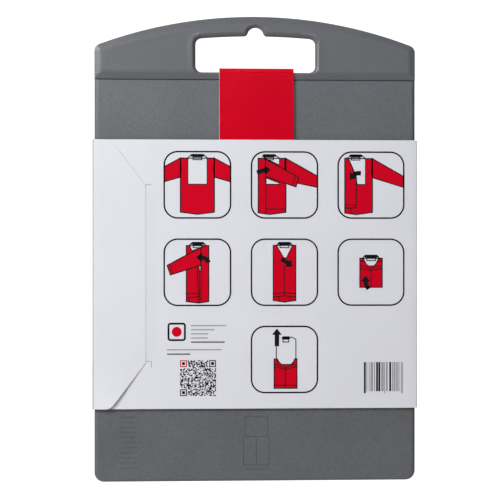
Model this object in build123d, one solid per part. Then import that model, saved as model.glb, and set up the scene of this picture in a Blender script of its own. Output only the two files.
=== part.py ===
"""Shirt folding board in its retail card sleeve.

Millimetres. +X is right and +Z is up, seen from the printed back of the sleeve, which faces -Y.
The origin is the top of the hang notch, on the board's middle plane, where a peg carries it.
"""
import math
import os

from build123d import *

# Board: a thin folding panel below, a thicker carrying handle above
boardWidth = 254.0
boardTop = 8.5
boardBottom = -359.0
topArcRadius = 353.0
topCornerRadius = 6.0
bottomCornerRadius = 7.5
panelHalfThickness = 2.2
panelEdgeRounding = 1.5

# Handle section
seamHeight = -41.4
handleEdgeHalf = 2.4
handleFaceHalf = 3.6
bevelWidth = 5.2
seamChamfer = 0.5
tongueHalfThickness = 1.0
tongueDepth = 3.0
tongueRoot = 1.0
tongueSideMargin = 9.0

# Grip slot, with a half-round hang notch in the middle of its arched top edge
slotHalfWidth = 47.4
slotBottom = -35.5
slotTopEnds = -9.0
slotTopMiddle = -6.8
slotCornerRadius = 5.0
slotFlare = 1.6
flareOverrun = 0.4
notchRadius = 6.4
notchFillet = 3.0

# Fine grooves moulded into the folding panel, below the sleeve: a folded shirt and a row of ticks
grooveDepth = 0.3
grooveWidth = 0.6
figureCentre = 0.8
figureTop = -308.1
figureShoulder = -323.7
figureBottom = -346.3
figureHalfWidthTop = 8.9
figureHalfWidthBottom = 10.2
tickColumns = (-106.5, -99.7)
tickLengths = (6.0, 4.4, 5.2)
tickCount = 11
tickPitch = 4.0

# Card sleeve: one die-cut sheet, folded round the board
card = 0.45
sleeveHalfWidth = 128.2
sleeveTop = -89.2
sleeveBottom = -301.2
frontInner = 3.7
backInner = -4.45
slitX = -86.4
slitWidth = 0.8
slitTop = -124.8
slitBottom = -263.7
backPanelGap = 0.3
flapShoulder = -112.6
flapShoulderReach = 2.5
flapShoulderDrop = 2.0
flapEndClearance = 0.4
tongueReach = 15.0
tongueCorner = 5.0

# Card strap: up the front, over the bridge under the grip slot and down the back into the sleeve
strapCentre = 0.5
strapWidth = 59.4
strapCrease = -35.7
strapPeak = -31.9
hingeGap = 0.4
kneeGap = 0.7
tailLength = 24.0

# How far a cutter reaches past the face it cuts
cutMargin = 1.0

# Worked out from the dimensions above
backOuter = backInner - card
flapOuter = backOuter - card
strapInnerBack = -frontInner
strapKnee = (strapCrease + sleeveTop) / 2
roofSlope = (strapPeak - strapCrease) / (frontInner + card)
roofInnerPeak = strapPeak - card * math.hypot(1, roofSlope)
roofInnerCrease = roofInnerPeak - roofSlope * frontInner


def flat(outline, yLow, yHigh):
    """Thickness between two heights in Y for an outline drawn with X across and Z up."""
    return Rot(90, 0, 0) * (Pos(0, 0, -yHigh) * extrude(outline, yHigh - yLow))


def tapered(outlineLow, outlineHigh, yLow, yHigh):
    """Straight-sided loft between an outline at yLow and another at yHigh."""
    low = Pos(0, 0, -yLow) * outlineLow
    high = Pos(0, 0, -yHigh) * outlineHigh
    return Rot(90, 0, 0) * loft([low, high], ruled=True)


def block(x, y, z):
    """A box from (low, high) pairs along each axis."""
    size = Box(x[1] - x[0], y[1] - y[0], z[1] - z[0])
    return Pos((x[0] + x[1]) / 2, (y[0] + y[1]) / 2, (z[0] + z[1]) / 2) * size


def polygon(points):
    """A face bounded by straight edges."""
    return make_face(Polyline(*points, close=True))


def bar(start, end, width):
    """The outline of a raised line with round ends."""
    middle = ((start[0] + end[0]) / 2, (start[1] + end[1]) / 2)
    length = math.dist(start, end)
    angle = math.degrees(math.atan2(end[1] - start[1], end[0] - start[0]))
    return Pos(*middle) * Rot(0, 0, angle) * SlotCenterToCenter(length, width)


def handle_outline():
    half = boardWidth / 2
    arcEnd = boardTop - topArcRadius + math.sqrt(topArcRadius**2 - half**2)
    top = ThreePointArc((-half, arcEnd), (0, boardTop), (half, arcEnd))
    rest = Polyline((half, arcEnd), (half, seamHeight), (-half, seamHeight), (-half, arcEnd))
    face = make_face(top + rest)
    shoulders = [v for v in face.vertices() if abs(v.Y - arcEnd) < 0.01]
    return fillet(shoulders, topCornerRadius)


def slot_outline():
    half = slotHalfWidth
    top = ThreePointArc((-half, slotTopEnds), (0, slotTopMiddle), (half, slotTopEnds))
    rest = Polyline((half, slotTopEnds), (half, slotBottom), (-half, slotBottom), (-half, slotTopEnds))
    face = make_face(top + rest)
    face = fillet(face.vertices(), slotCornerRadius)
    face = face + Pos(0, -notchRadius) * Circle(notchRadius)
    junctions = [v for v in face.vertices() if abs(v.X) < notchRadius + 1 and v.Y > slotTopEnds]
    return fillet(junctions, notchFillet)


def joint_tongue():
    """The blade along the panel's top edge that fills the handle's socket."""
    reach = boardWidth / 2 - tongueSideMargin
    half = tongueHalfThickness
    return block((-reach, reach), (-half, half), (seamHeight - tongueRoot, seamHeight + tongueDepth))


def folding_panel():
    outline = Rectangle(boardWidth, seamHeight - boardBottom)
    outline = Pos(0, (seamHeight + boardBottom) / 2) * outline
    lower = [v for v in outline.vertices() if v.Y < boardBottom + 1]
    outline = fillet(lower, bottomCornerRadius)
    panel = flat(outline, -panelHalfThickness, panelHalfThickness)
    rims = [e for e in panel.edges() if abs(abs(e.center().Y) - panelHalfThickness) < 0.01]
    outer = [e for e in rims if e.center().Z < seamHeight - 1]
    panel = fillet(outer, panelEdgeRounding)
    seam = [e for e in panel.edges() if e.center().Z > seamHeight - 0.01 and abs(e.center().X) < 1]
    panel = chamfer(seam, seamChamfer)
    return panel + joint_tongue() - moulded_grooves()


def moulded_grooves():
    """Cutters for the folded shirt with its centre line and folded hem, and for the ticks."""
    left = figureCentre - figureHalfWidthTop
    right = figureCentre + figureHalfWidthTop
    lowLeft = figureCentre - figureHalfWidthBottom
    lowRight = figureCentre + figureHalfWidthBottom
    lines = [
        ((left, figureTop), (right, figureTop)),
        ((left, figureTop), (left, figureShoulder)),
        ((right, figureTop), (right, figureShoulder)),
        ((lowLeft, figureShoulder), (lowRight, figureShoulder)),
        ((lowLeft, figureShoulder), (lowLeft, figureBottom)),
        ((lowRight, figureShoulder), (lowRight, figureBottom)),
        ((lowLeft, figureBottom), (lowRight, figureBottom)),
        ((figureCentre, figureShoulder), (figureCentre, figureBottom)),
    ]
    for column in tickColumns:
        for i in range(tickCount):
            height = figureTop - i * tickPitch
            length = tickLengths[i % len(tickLengths)]
            lines.append(((column, height), (column + length, height)))
    outline = Sketch() + [bar(a, b, grooveWidth) for a, b in lines]
    return flat(outline, -panelHalfThickness - cutMargin, -panelHalfThickness + grooveDepth)


def handle_section():
    outline = handle_outline()
    inset = offset(outline, -bevelWidth, kind=Kind.INTERSECTION)
    body = flat(outline, -handleEdgeHalf, handleEdgeHalf)
    body += tapered(outline, inset, handleEdgeHalf, handleFaceHalf)
    body += tapered(outline, inset, -handleEdgeHalf, -handleFaceHalf)
    slot = slot_outline()
    wide = offset(slot, slotFlare + flareOverrun)
    straight = handleFaceHalf - slotFlare
    proud = handleFaceHalf + flareOverrun
    body -= flat(slot, -proud - cutMargin, proud + cutMargin)
    body -= tapered(slot, wide, straight, proud)
    body -= tapered(slot, wide, -straight, -proud)
    return body - joint_tongue()


def sleeve_front_panel():
    reach = sleeveHalfWidth - card
    return block((-reach, reach), (frontInner, frontInner + card), (sleeveBottom, sleeveTop))


def sleeve_back_panel():
    reach = sleeveHalfWidth - card
    panel = block((-reach + backPanelGap, reach), (backOuter, backInner), (sleeveBottom, sleeveTop))
    slit = (slitX - slitWidth / 2, slitX + slitWidth / 2)
    return panel - block(slit, (backOuter - cutMargin, backInner + cutMargin), (slitBottom, slitTop))


def sleeve_side(sign, yLow):
    outer = sign * sleeveHalfWidth
    inner = sign * (sleeveHalfWidth - card)
    x = (min(outer, inner), max(outer, inner))
    return block(x, (yLow, frontInner + card), (sleeveBottom, sleeveTop))


def lock_flap():
    left = -sleeveHalfWidth + card
    hinge = slitX - slitWidth / 2
    outline = polygon(
        [
            (left, sleeveTop),
            (flapShoulder - flapShoulderReach, sleeveTop),
            (flapShoulder, sleeveTop - flapShoulderDrop),
            (hinge, slitTop - flapEndClearance),
            (hinge, slitBottom + flapEndClearance),
            (flapShoulder, sleeveBottom + flapShoulderDrop),
            (flapShoulder - flapShoulderReach, sleeveBottom),
            (left, sleeveBottom),
        ]
    )
    return flat(outline, flapOuter, backOuter)


def lock_tongue():
    """Folds off the flap, passes through the slit and lies behind the back panel."""
    top = slitTop - flapEndClearance
    bottom = slitBottom + flapEndClearance
    start = slitX - card / 2
    neck = block((start, start + card), (flapOuter, backInner), (bottom, top))
    neck += block((slitX - slitWidth / 2, start), (flapOuter, backOuter), (bottom, top))
    tip = slitX + tongueReach
    outline = polygon(
        [
            (start, top),
            (tip - tongueCorner, top),
            (tip, top - tongueCorner * 2),
            (tip, bottom + tongueCorner * 2),
            (tip - tongueCorner, bottom),
            (start, bottom),
        ]
    )
    return neck + flat(outline, backInner, backInner + card)


def strap_piece(profile):
    """A strap-wide solid from its outline seen end-on, drawn with Y across and Z up."""
    face = Plane.YZ * polygon(profile)
    return Pos(strapCentre - strapWidth / 2, 0, 0) * extrude(face, strapWidth)


def strap_length(inner, top, bottom):
    """An upright stretch of strap whose face towards the board lies at Y = inner."""
    outer = inner + math.copysign(card, inner)
    return strap_piece([(inner, top), (outer, top), (outer, bottom), (inner, bottom)])


def strap_front():
    inner = frontInner
    outer = inner + card
    return strap_piece(
        [(inner, roofInnerCrease), (outer, strapCrease), (outer, sleeveTop), (inner, sleeveTop)]
    )


def strap_roof_front():
    outer = frontInner + card
    return strap_piece(
        [(outer, strapCrease), (0, strapPeak), (0, roofInnerPeak), (frontInner, roofInnerCrease)]
    )


def strap_roof_back():
    """Ends square to its own slope, just short of the crease that the back of the strap turns on."""
    outer = frontInner + card - hingeGap
    z = strapPeak - roofSlope * outer
    angle = math.atan(roofSlope)
    inner = (-outer + card * math.sin(angle), z - card * math.cos(angle))
    return strap_piece([(-outer, z), (0, strapPeak), (0, roofInnerPeak), inner])


def build():
    return {
        "folding_panel": folding_panel(),
        "handle_section": handle_section(),
        "sleeve_front_panel": sleeve_front_panel(),
        "sleeve_back_panel": sleeve_back_panel(),
        "sleeve_left_side": sleeve_side(-1, flapOuter),
        "sleeve_right_side": sleeve_side(1, backOuter),
        "lock_flap": lock_flap(),
        "lock_tongue": lock_tongue(),
        "strap_front": strap_front(),
        "strap_roof_front": strap_roof_front(),
        "strap_roof_back": strap_roof_back(),
        "strap_back_upper": strap_length(strapInnerBack, strapCrease - hingeGap, strapKnee + kneeGap),
        "strap_back_lower": strap_length(strapInnerBack, strapKnee - kneeGap, sleeveTop + hingeGap),
        "strap_tail": strap_length(strapInnerBack, sleeveTop - hingeGap, sleeveTop - tailLength),
    }


os.makedirs("parts", exist_ok=True)
for node, shape in build().items():
    export_step(shape, f"parts/{node}.step")
    print(node, round(shape.volume, 1), "mm3")
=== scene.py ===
import math
import random

import bmesh
import bpy
import numpy as np
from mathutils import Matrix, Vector
from mathutils.geometry import tessellate_polygon


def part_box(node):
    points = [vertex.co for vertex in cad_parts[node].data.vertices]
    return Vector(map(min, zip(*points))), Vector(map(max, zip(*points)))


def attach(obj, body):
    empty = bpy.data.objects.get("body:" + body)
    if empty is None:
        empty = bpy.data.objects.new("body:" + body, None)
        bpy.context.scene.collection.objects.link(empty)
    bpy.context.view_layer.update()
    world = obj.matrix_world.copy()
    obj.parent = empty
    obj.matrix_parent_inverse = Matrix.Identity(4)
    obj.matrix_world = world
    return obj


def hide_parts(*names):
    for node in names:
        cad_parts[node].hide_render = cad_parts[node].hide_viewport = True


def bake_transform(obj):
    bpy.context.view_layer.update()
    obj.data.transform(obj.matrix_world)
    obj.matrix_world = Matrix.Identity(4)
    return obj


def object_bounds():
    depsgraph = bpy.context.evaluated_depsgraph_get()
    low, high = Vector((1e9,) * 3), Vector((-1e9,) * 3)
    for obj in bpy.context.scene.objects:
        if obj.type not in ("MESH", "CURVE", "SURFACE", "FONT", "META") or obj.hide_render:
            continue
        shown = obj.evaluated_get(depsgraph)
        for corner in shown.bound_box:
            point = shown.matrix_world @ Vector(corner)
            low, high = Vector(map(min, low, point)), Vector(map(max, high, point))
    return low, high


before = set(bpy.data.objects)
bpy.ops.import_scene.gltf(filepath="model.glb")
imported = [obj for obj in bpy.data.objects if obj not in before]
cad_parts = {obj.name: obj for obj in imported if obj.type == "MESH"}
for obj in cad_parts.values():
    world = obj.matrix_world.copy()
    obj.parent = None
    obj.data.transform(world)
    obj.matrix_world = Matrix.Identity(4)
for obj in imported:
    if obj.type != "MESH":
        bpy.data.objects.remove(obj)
cadLow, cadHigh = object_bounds()
mm = 0.001

# The printed side faces -Y. Pieces are worked out in millimetres, camera and lamps in metres.
panelLow, panelHigh = (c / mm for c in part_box("folding_panel"))
handleLow, handleHigh = (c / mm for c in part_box("handle_section"))
backLow, backHigh = (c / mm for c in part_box("sleeve_back_panel"))
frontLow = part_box("sleeve_front_panel")[0] / mm
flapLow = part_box("lock_flap")[0] / mm
tongueLow, tongueHigh = (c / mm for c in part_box("lock_tongue"))
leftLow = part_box("sleeve_left_side")[0] / mm
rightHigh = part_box("sleeve_right_side")[1] / mm
upperLow, upperHigh = (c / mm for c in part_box("strap_back_upper"))
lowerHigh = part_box("strap_back_lower")[1] / mm
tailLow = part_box("strap_tail")[0] / mm
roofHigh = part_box("strap_roof_front")[1] / mm
print("frame loaded")


# camera
cameraSetup = {
    "lens": 85.0, "sensor": 36.0, "distance": 0.9355, "turn": 2.19, "aimRight": -0.0043, "aimUp": -0.0009,
}


def addToScene(name, data):
    thing = bpy.data.objects.new(name, data)
    bpy.context.scene.collection.objects.link(thing)
    return thing


def makeCamera(setup):
    data = bpy.data.cameras.new("camera")
    data.lens = setup["lens"]
    data.sensor_width = setup["sensor"]
    cam = addToScene("camera", data)
    aim = (cadLow + cadHigh) / 2 + Vector((setup["aimRight"], 0, setup["aimUp"]))
    turn = math.radians(setup["turn"])
    forward = Vector((math.sin(turn), math.cos(turn), 0))
    cam.location = aim - forward * setup["distance"]
    cam.rotation_euler = forward.to_track_quat("-Z", "Y").to_euler()
    bpy.context.scene.camera = cam


makeCamera(cameraSetup)
print("camera made")


# node helpers
class Nodes:  # a thin wrapper, so that a material reads as a list of connections
    def __init__(self, tree):
        self.tree = tree

    def add(self, kind, **values):
        node = self.tree.nodes.new(kind)
        for key, value in values.items():
            setattr(node, key, value)
        return node

    def find(self, kind):
        return next(n for n in self.tree.nodes if n.type == kind)

    def link(self, source, target):
        self.tree.links.new(source, target)

    # a number or colour is set on the socket, anything else is connected to it
    def feed(self, socket, value):
        if isinstance(value, (int, float)):
            socket.default_value = value
        elif isinstance(value, tuple):
            socket.default_value = (*value, 1.0)
        else:
            self.link(value, socket)

    def math(self, operation, a, b=None, clamp=False):
        node = self.add("ShaderNodeMath", operation=operation, use_clamp=clamp)
        for socket, value in zip(node.inputs, (a, b)):
            if value is not None:
                self.feed(socket, value)
        return node.outputs[0]

    def place(self, kind="Object"):
        return self.add("ShaderNodeTexCoord").outputs[kind]

    def noise(self, vector, scale, detail=2.0, roughness=0.5):
        node = self.add("ShaderNodeTexNoise")
        self.link(vector, node.inputs["Vector"])
        for name, value in (("Scale", scale), ("Detail", detail), ("Roughness", roughness)):
            self.feed(node.inputs[name], value)
        return node.outputs["Fac"]

    def mixColour(self, factor, a, b, blend="MIX"):
        node = self.add("ShaderNodeMix", data_type="RGBA", blend_type=blend)
        for k, value in ((0, factor), (6, a), (7, b)):
            self.feed(node.inputs[k], value)
        return node.outputs[2]

    def spread(self, value, low, high, toLow=0.0, toHigh=1.0):
        node = self.add("ShaderNodeMapRange")
        self.link(value, node.inputs["Value"])
        for name, number in (("From Min", low), ("From Max", high), ("To Min", toLow), ("To Max", toHigh)):
            node.inputs[name].default_value = number
        return node.outputs["Result"]


def newGroup(name, inputs, outputs):
    tree = bpy.data.node_groups.new(name, "ShaderNodeTree")
    for label, value in inputs.items():
        tree.interface.new_socket(label, in_out="INPUT", socket_type="NodeSocketFloat").default_value = value
    for label in outputs:
        tree.interface.new_socket(label, in_out="OUTPUT", socket_type="NodeSocketFloat")
    nodes = Nodes(tree)
    return nodes, nodes.add("NodeGroupInput"), nodes.add("NodeGroupOutput")


def useGroup(nodes, group, **values):
    node = nodes.add("ShaderNodeGroup", node_tree=group)
    for label, value in values.items():
        node.inputs[label].default_value = value
    return node


# fine pebbled texture of a moulded face, with soft colour clouds
def mouldedGrainGroup():
    nodes, inside, out = newGroup(
        "mouldedGrain", {"Grain Scale": 1500.0, "Cloud Scale": 30.0}, ("Height", "Cloud", "Speckle")
    )
    place = nodes.place()
    grain = nodes.noise(place, inside.outputs["Grain Scale"], 3.0, 0.6)
    pebble = nodes.add("ShaderNodeTexVoronoi", feature="F1")
    nodes.link(place, pebble.inputs["Vector"])
    nodes.link(inside.outputs["Grain Scale"], pebble.inputs["Scale"])
    grainPart = nodes.math("MULTIPLY", grain, 0.6)
    pebblePart = nodes.math("MULTIPLY", pebble.outputs[0], 0.4)
    nodes.link(nodes.math("ADD", grainPart, pebblePart), out.inputs["Height"])
    cloud = nodes.noise(place, inside.outputs["Cloud Scale"], 4.0, 0.55)
    nodes.link(nodes.spread(cloud, 0.3, 0.7), out.inputs["Cloud"])
    speckle = nodes.noise(place, nodes.math("MULTIPLY", inside.outputs["Grain Scale"], 0.45), 2.0, 0.7)
    nodes.link(nodes.spread(speckle, 0.35, 0.65), out.inputs["Speckle"])
    return nodes.tree


# rubbed edges: lighter where the surface turns sharply outwards
def edgeWearGroup():
    nodes, inside, out = newGroup(
        "edgeWear", {"Start": 0.53, "Steepness": 14.0, "Breakup Scale": 300.0}, ("Mask",)
    )
    curve = nodes.add("ShaderNodeNewGeometry").outputs["Pointiness"]
    place = nodes.place()
    rise = nodes.math("SUBTRACT", curve, inside.outputs["Start"])
    rise = nodes.math("MULTIPLY", rise, inside.outputs["Steepness"], True)
    breakup = nodes.spread(nodes.noise(place, inside.outputs["Breakup Scale"], 4.0, 0.6), 0.35, 0.6)
    nodes.link(nodes.math("MULTIPLY", rise, breakup, True), out.inputs["Mask"])
    return nodes.tree


# paper fibres and the slight mottle of coated card
def cardFibreGroup():
    nodes, inside, out = newGroup(
        "cardFibre", {"Fibre Scale": 900.0, "Mottle Scale": 18.0}, ("Height", "Mottle")
    )
    place = nodes.place()
    stretch = nodes.add("ShaderNodeMapping")
    nodes.link(place, stretch.inputs["Vector"])
    stretch.inputs["Scale"].default_value = (1.0, 1.0, 0.35)
    fibre = nodes.noise(stretch.outputs[0], inside.outputs["Fibre Scale"], 4.0, 0.65)
    nodes.link(fibre, out.inputs["Height"])
    mottle = nodes.noise(place, inside.outputs["Mottle Scale"], 3.0, 0.5)
    nodes.link(nodes.spread(mottle, 0.3, 0.7), out.inputs["Mottle"])
    return nodes.tree


mouldedGrain = mouldedGrainGroup()
edgeWear = edgeWearGroup()
cardFibre = cardFibreGroup()


def newMaterial(name):
    material = bpy.data.materials.new(name)
    material.use_nodes = True
    nodes = Nodes(material.node_tree)
    return material, nodes, nodes.find("BSDF_PRINCIPLED")


def addBump(nodes, shader, height, strength, distance):
    bump = nodes.add("ShaderNodeBump")
    bump.inputs["Strength"].default_value = strength
    bump.inputs["Distance"].default_value = distance
    nodes.link(height, bump.inputs["Height"])
    nodes.link(bump.outputs["Normal"], shader.inputs["Normal"])


# moulded plastic
panelPlastic = {
    "colour": (0.107, 0.110, 0.117), "shade": 0.90, "worn": (0.24, 0.25, 0.27),
    "rough": (0.30, 0.37), "grain": 1300.0, "clouds": 22.0, "fleck": 0.16, "bump": 0.18, "specular": 0.5,
    "rub": 0.0,
}
handlePlastic = {
    "colour": (0.106, 0.108, 0.116), "shade": 0.93, "worn": (0.26, 0.27, 0.29),
    "rough": (0.31, 0.38), "grain": 2400.0, "clouds": 22.0, "fleck": 0.16, "bump": 0.08, "specular": 0.36,
    "rub": 0.5,
}
plasticGrainDepth = 0.0003


def plasticMaterial(name, look):
    material, nodes, shader = newMaterial(name)
    grain = useGroup(nodes, mouldedGrain, **{"Grain Scale": look["grain"], "Cloud Scale": look["clouds"]})
    dark = tuple(c * look["shade"] for c in look["colour"])
    colour = nodes.mixColour(grain.outputs["Cloud"], dark, look["colour"])
    fleck = nodes.math("MULTIPLY", grain.outputs["Speckle"], look["fleck"])
    colour = nodes.mixColour(fleck, colour, look["worn"])
    if look["rub"] > 0:
        rubbed = nodes.math("MULTIPLY", useGroup(nodes, edgeWear).outputs["Mask"], look["rub"])
        colour = nodes.mixColour(rubbed, colour, look["worn"])
    nodes.link(colour, shader.inputs["Base Color"])
    rough = nodes.spread(grain.outputs["Cloud"], 0.0, 1.0, *look["rough"])
    nodes.link(rough, shader.inputs["Roughness"])
    shader.inputs["Specular IOR Level"].default_value = look["specular"]
    addBump(nodes, shader, grain.outputs["Height"], look["bump"], plasticGrainDepth)
    return material


# card and inks
inkLook = {"tint": 0.93, "rough": 0.50, "bump": 0.08, "fibre": 900.0}
cardLook = {
    "whiteCard": {
        "colour": (0.722, 0.722, 0.775), "tint": 0.97, "rough": 0.42, "bump": 0.10, "fibre": 900.0,
        "specular": 0.15,
    },
    "redCard": {
        "colour": (0.600, 0.0002, 0.0130), "tint": 0.93, "rough": 0.24, "bump": 0.04, "fibre": 900.0,
        "specular": 0.06,
    },
    "rawCard": {
        "colour": (0.600, 0.580, 0.545), "tint": 0.90, "rough": 0.85, "bump": 0.35, "fibre": 1400.0,
        "specular": 0.25,
    },
    # painted shade: a dark grey card colour on the flap's left fold, standing in for the fold's shadow
    "foldShadeCard": {
        "colour": (0.270, 0.262, 0.262), "tint": 0.85, "rough": 0.80, "bump": 0.40, "fibre": 1400.0,
        "specular": 0.25,
    },
    "cutEdge": {
        "colour": (0.840, 0.835, 0.820), "tint": 0.88, "rough": 0.90, "bump": 0.50, "fibre": 3000.0,
        "specular": 0.25,
    },
    "inkRed": {**inkLook, "colour": (0.620, 0.0002, 0.0150), "tint": 0.92, "specular": 0.04},
    "inkBlack": {**inkLook, "colour": (0.008, 0.008, 0.010), "tint": 0.80, "specular": 0.06},
    "inkGrey": {**inkLook, "colour": (0.360, 0.360, 0.380), "specular": 0.10},
    "inkDarkGrey": {**inkLook, "colour": (0.090, 0.090, 0.100), "specular": 0.10},
}
cardRoughSpread = 0.05
cardFibreDepth = 0.00012


def cardMaterial(name, look):
    material, nodes, shader = newMaterial(name)
    fibre = useGroup(nodes, cardFibre, **{"Fibre Scale": look["fibre"]})
    dark = tuple(c * look["tint"] for c in look["colour"])
    nodes.link(nodes.mixColour(fibre.outputs["Mottle"], dark, look["colour"]), shader.inputs["Base Color"])
    smoothest, roughest = look["rough"] - cardRoughSpread, look["rough"] + cardRoughSpread
    rough = nodes.spread(fibre.outputs["Mottle"], 0.0, 1.0, smoothest, roughest)
    nodes.link(rough, shader.inputs["Roughness"])
    shader.inputs["Specular IOR Level"].default_value = look["specular"]
    addBump(nodes, shader, fibre.outputs["Height"], look["bump"], cardFibreDepth)
    return material


materials = {name: cardMaterial(name, look) for name, look in cardLook.items()}
materials["panelPlastic"] = plasticMaterial("panelPlastic", panelPlastic)
materials["handlePlastic"] = plasticMaterial("handlePlastic", handlePlastic)
print("materials made")


# mesh helpers
sharpAngle = 35.0
tinyLength = 1e-6


def smoothMesh(mesh, sharp=sharpAngle):
    mesh.shade_smooth()
    mesh.set_sharp_from_angle(angle=math.radians(sharp))


# opens a mesh for editing, makes one change after another and puts it back
def workOn(mesh, *changes):
    work = bmesh.new()
    work.from_mesh(mesh)
    for change in changes:
        change(work)
    work.to_mesh(mesh)
    work.free()


def turnOutwards(work):
    bmesh.ops.recalc_face_normals(work, faces=work.faces[:])


def dropSlivers(work):
    bmesh.ops.dissolve_degenerate(work, edges=work.edges[:], dist=2 * tinyLength)


def addPiece(name, points, faces, materialNames, zones=None, sharp=sharpAngle):
    mesh = bpy.data.meshes.new(name)
    mesh.from_pydata([tuple(c * mm for c in p) for p in points], [], faces)
    for label in materialNames:
        mesh.materials.append(materials[label])
    if zones:
        mesh.polygons.foreach_set("material_index", zones)
    mesh.validate()
    piece = addToScene(name, mesh)
    workOn(mesh, turnOutwards)
    smoothMesh(mesh, sharp)
    return piece


# closed skin over a stack of matching loops, with both ends capped
def stackFaces(loops):
    count = len(loops[0])
    faces = []
    for ring in range(len(loops) - 1):
        a = ring * count
        b = a + count
        for i in range(count):
            j = (i + 1) % count
            faces.append((a + i, a + j, b + j, b + i))
    faces.append(tuple(reversed(range(count))))
    faces.append(tuple(range((len(loops) - 1) * count, len(loops) * count)))
    return faces


# outline is a function of the inset, profile a list of (inset, height) along -Y
def stackPiece(name, outline, profile, materialName):
    loops = [[(x, -height, z) for x, z in outline(inset)] for inset, height in profile]
    return addPiece(name, [p for loop in loops for p in loop], stackFaces(loops), [materialName])


def arc(centre, radius, start, end, steps):
    angles = [math.radians(start + (end - start) * i / steps) for i in range(steps + 1)]
    return [(centre[0] + radius * math.cos(a), centre[1] + radius * math.sin(a)) for a in angles]


def between(a, b, steps):
    return [(a[0] + (b[0] - a[0]) * i / steps, a[1] + (b[1] - a[1]) * i / steps) for i in range(1, steps)]


# a point, or one coordinate of it, on the curve that leaves first and reaches last by way of corner
def curved(first, corner, last, t):
    return first * (1 - t) ** 2 + corner * 2 * t * (1 - t) + last * t * t


# the right half of a symmetric outline, from the bottom middle to the top middle, mirrored
def mirrored(half):
    return half + [(-x, z) for x, z in reversed(half[1:-1])]


def cutAway(piece, cutter):
    modifier = piece.modifiers.new("cut", "BOOLEAN")
    modifier.object = cutter
    modifier.solver = "EXACT"
    modifier.use_self = True
    settle(piece)
    bpy.data.objects.remove(cutter)


# turns a piece's modifiers into its mesh, without the slivers that they leave
def settle(piece):
    bpy.context.view_layer.update()
    evaluated = piece.evaluated_get(bpy.context.evaluated_depsgraph_get())
    mesh = bpy.data.meshes.new_from_object(evaluated)
    piece.modifiers.clear()
    old = piece.data
    piece.data = mesh
    bpy.data.meshes.remove(old)
    mesh.name = piece.name
    workOn(mesh, dropSlivers)
    smoothMesh(mesh)


def weightNormals(piece):
    modifier = piece.modifiers.new("flatFaces", "WEIGHTED_NORMAL")
    modifier.keep_sharp = True
    modifier.weight = 100


# carrying handle
handleShape = {
    "topArc": 353.0, "corner": 6.0, "bevel": 5.2, "bevelDrop": 1.2, "crest": 0.8, "edge": 0.9,
    "rimWidth": 3.2, "rimDepth": 3.0, "rimStep": 8.7, "rimFlare": (0.3, 0.5),
    "slotHalf": 47.4, "slotBottom": -35.5, "slotTop": -6.8, "slotSag": 2.2, "slotCorner": 5.0,
    "notch": 6.4, "notchFillet": 3.0,
}


def handleOutline(inset):
    s = handleShape
    half = handleHigh.x
    seam = handleLow.z
    centre = handleHigh.z - s["topArc"]
    cornerX = half - s["corner"]
    cornerZ = centre + math.sqrt((s["topArc"] - s["corner"]) ** 2 - cornerX ** 2)
    lean = math.degrees(math.atan2(cornerZ - centre, cornerX))
    right = [(0.0, seam + inset)]
    right += between(right[0], (half - inset, seam + inset), 16)
    right += [(half - inset, seam + inset)]
    right += between((half - inset, seam + inset), (half - inset, cornerZ), 6)
    right += arc((cornerX, cornerZ), s["corner"] - inset, 0.0, lean, 8)
    right += arc((0.0, centre), s["topArc"] - inset, lean, 90.0, 40)[1:]
    return mirrored(right)


def handleProfile():
    s = handleShape
    face = handleHigh.y
    slope = s["bevelDrop"] / s["bevel"]
    side = face - s["bevelDrop"] - s["edge"]
    points = []
    for degrees in (0.0, 15.0, 30.0, 45.0, 60.0, 75.0):
        a = math.radians(degrees)
        points.append((s["edge"] * (1 - math.cos(a)), side + s["edge"] * math.sin(a)))
    flatIn = s["bevel"] + s["crest"]
    slopeEnd = s["bevel"] - s["crest"]
    first = (slopeEnd, face - s["crest"] * slope)
    last = (flatIn, face)
    corner = (s["bevel"], face)
    crestSteps = 4
    for i in range(crestSteps + 1):
        points.append(tuple(curved(*ends, i / crestSteps) for ends in zip(first, corner, last)))
    return points


def slotOutline(outset):
    s = handleShape
    half, bottom, corner, notch = s["slotHalf"], s["slotBottom"], s["slotCorner"], s["notch"]
    radius = (half ** 2 + s["slotSag"] ** 2) / (2 * s["slotSag"])
    centre = s["slotTop"] - radius
    cornerX = half - corner
    cornerZ = centre + math.sqrt((radius - corner) ** 2 - cornerX ** 2)
    lean = math.degrees(math.atan2(cornerZ - centre, cornerX))
    # the fillet beside the notch touches both the notch and the slot's top edge
    fillet = max(s["notchFillet"], outset + 0.05)
    reachTop = radius + fillet
    reachNotch = notch + fillet
    span = -notch - centre
    filletZ = (reachTop ** 2 - reachNotch ** 2 + span ** 2) / (2 * span)
    filletX = math.sqrt(reachTop ** 2 - filletZ ** 2)
    filletZ += centre
    fromTop = math.degrees(math.atan2(filletZ - centre, filletX))
    fromNotch = math.degrees(math.atan2(filletZ + notch, filletX))
    right = [(0.0, bottom - outset)]
    right += between(right[0], (cornerX, bottom - outset), 12)
    right += arc((cornerX, bottom + corner), corner + outset, -90.0, 0.0, 10)
    right += between((half + outset, bottom + corner), (half + outset, cornerZ), 4)
    right += arc((cornerX, cornerZ), corner + outset, 0.0, lean, 10)
    right += arc((0.0, centre), radius + outset, lean, fromTop, 14)[1:-1]
    right += arc((filletX, filletZ), fillet - outset, fromTop - 180.0, fromNotch - 180.0, 7)
    right += arc((0.0, -notch), notch + outset, fromNotch, 90.0, 12)[1:]
    return mirrored(right)


def rimProfile():
    s = handleShape
    face = handleHigh.y
    points = []
    for i in range(11):
        a = math.radians(s["rimStep"] * i)
        points.append((s["rimWidth"] * (1 - math.cos(a)), face - s["rimDepth"] * (1 - math.sin(a))))
    # the cutter ends a little wider than the rim and proud of the face
    points.append((s["rimWidth"] + s["rimFlare"][0], face + s["rimFlare"][1]))
    return points


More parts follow.
